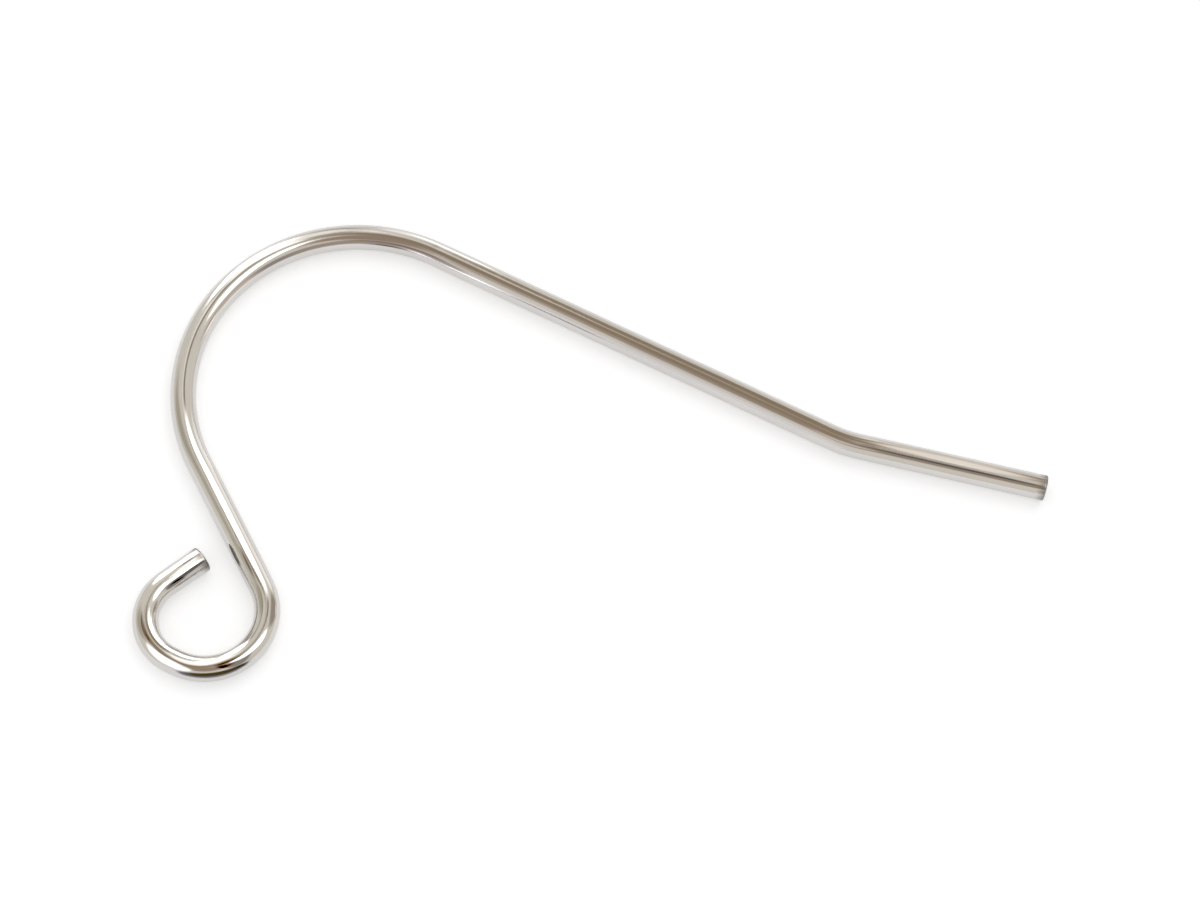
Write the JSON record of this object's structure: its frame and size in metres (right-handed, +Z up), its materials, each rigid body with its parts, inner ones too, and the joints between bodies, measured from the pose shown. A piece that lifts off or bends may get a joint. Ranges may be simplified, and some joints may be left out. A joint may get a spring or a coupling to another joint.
{
  "type": "ear wire",
  "caption": "Fish-hook ear wire of round polished steel: an arch for the ear lobe, a long kinked shank and a turned loop that holds a drop.",
  "frame": {"origin": "on the surface that the wire lies on, under the middle of its outline", "axes": "+X along the straight shank towards the tip, +Y from the loop towards the shank, +Z up out of the plane of the wire"},
  "size_m": [0.0258, 0.0176, 0.0008],
  "materials": {
    "polished_steel": "bright polished stainless steel with faint lengthwise drawing lines"
  },
  "bodies": {
    "root": {"ear_hook": "polished_steel"}
  },
  "joints": []
}
